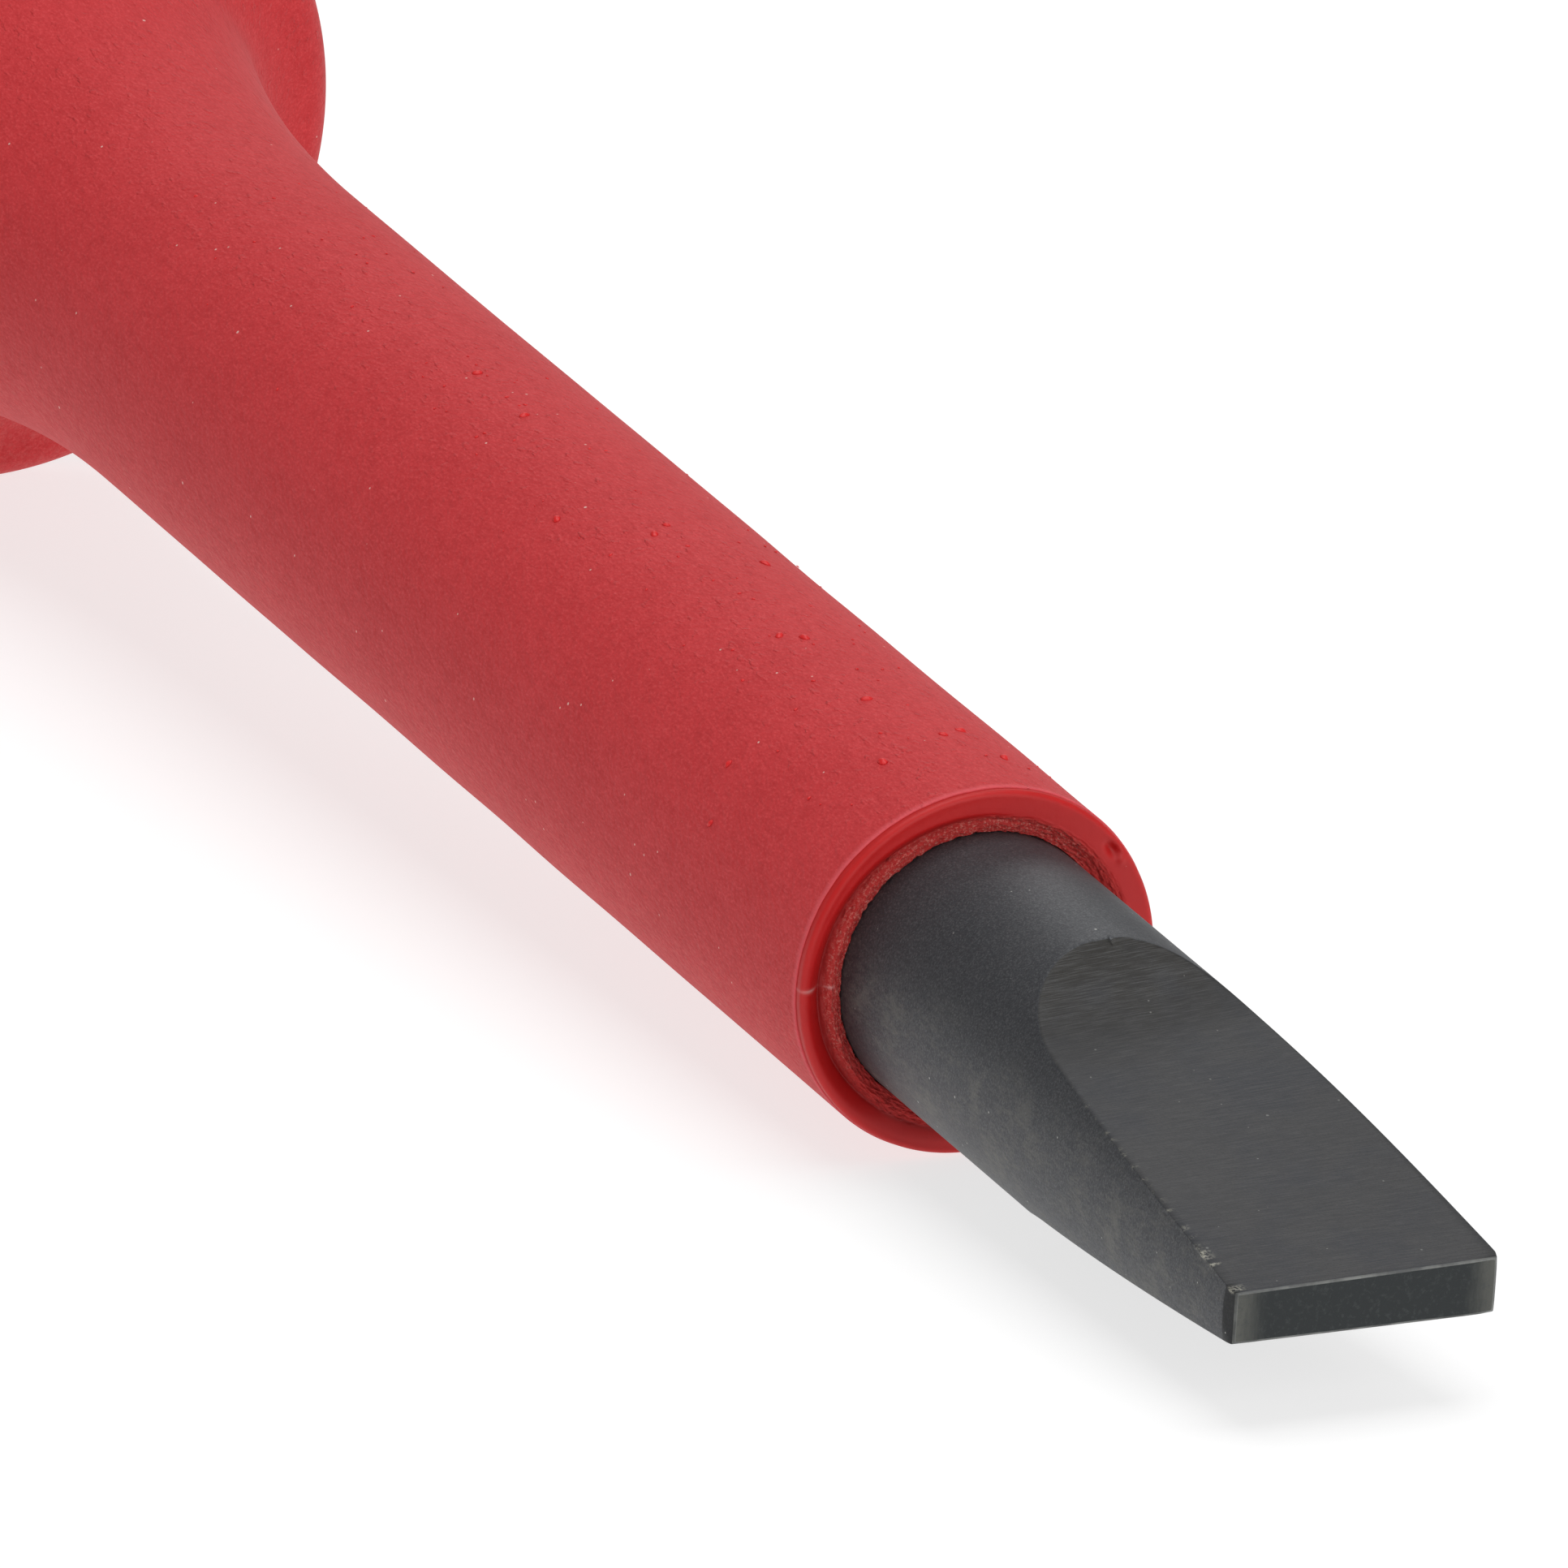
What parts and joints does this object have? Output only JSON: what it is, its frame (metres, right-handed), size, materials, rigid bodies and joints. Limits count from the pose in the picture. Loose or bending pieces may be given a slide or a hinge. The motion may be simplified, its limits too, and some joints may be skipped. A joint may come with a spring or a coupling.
{
  "type": "cold chisel with hand guard",
  "caption": "Round-bar cold chisel with a blunt flat blade, a bevelled striking face and a two-layer grip that flares into a mushroom hand guard.",
  "frame": {"origin": "centre of the flat striking face", "axes": "+X along the bar from the striking face to the blunt edge; +Z is square to the blade's upper ground flat; +Y runs along the edge"},
  "size_m": [0.254, 0.05, 0.05],
  "materials": {
    "dark_steel": "blackened tool steel with cross-ground flats",
    "smooth_red_plastic": "smooth satin moulding",
    "dull_red_rubber": "fine pebbled matt skin"
  },
  "bodies": {
    "root": {"chisel_bar": "dark_steel", "grip_core": "smooth_red_plastic", "hand_guard_grip": "dull_red_rubber"}
  },
  "joints": []
}
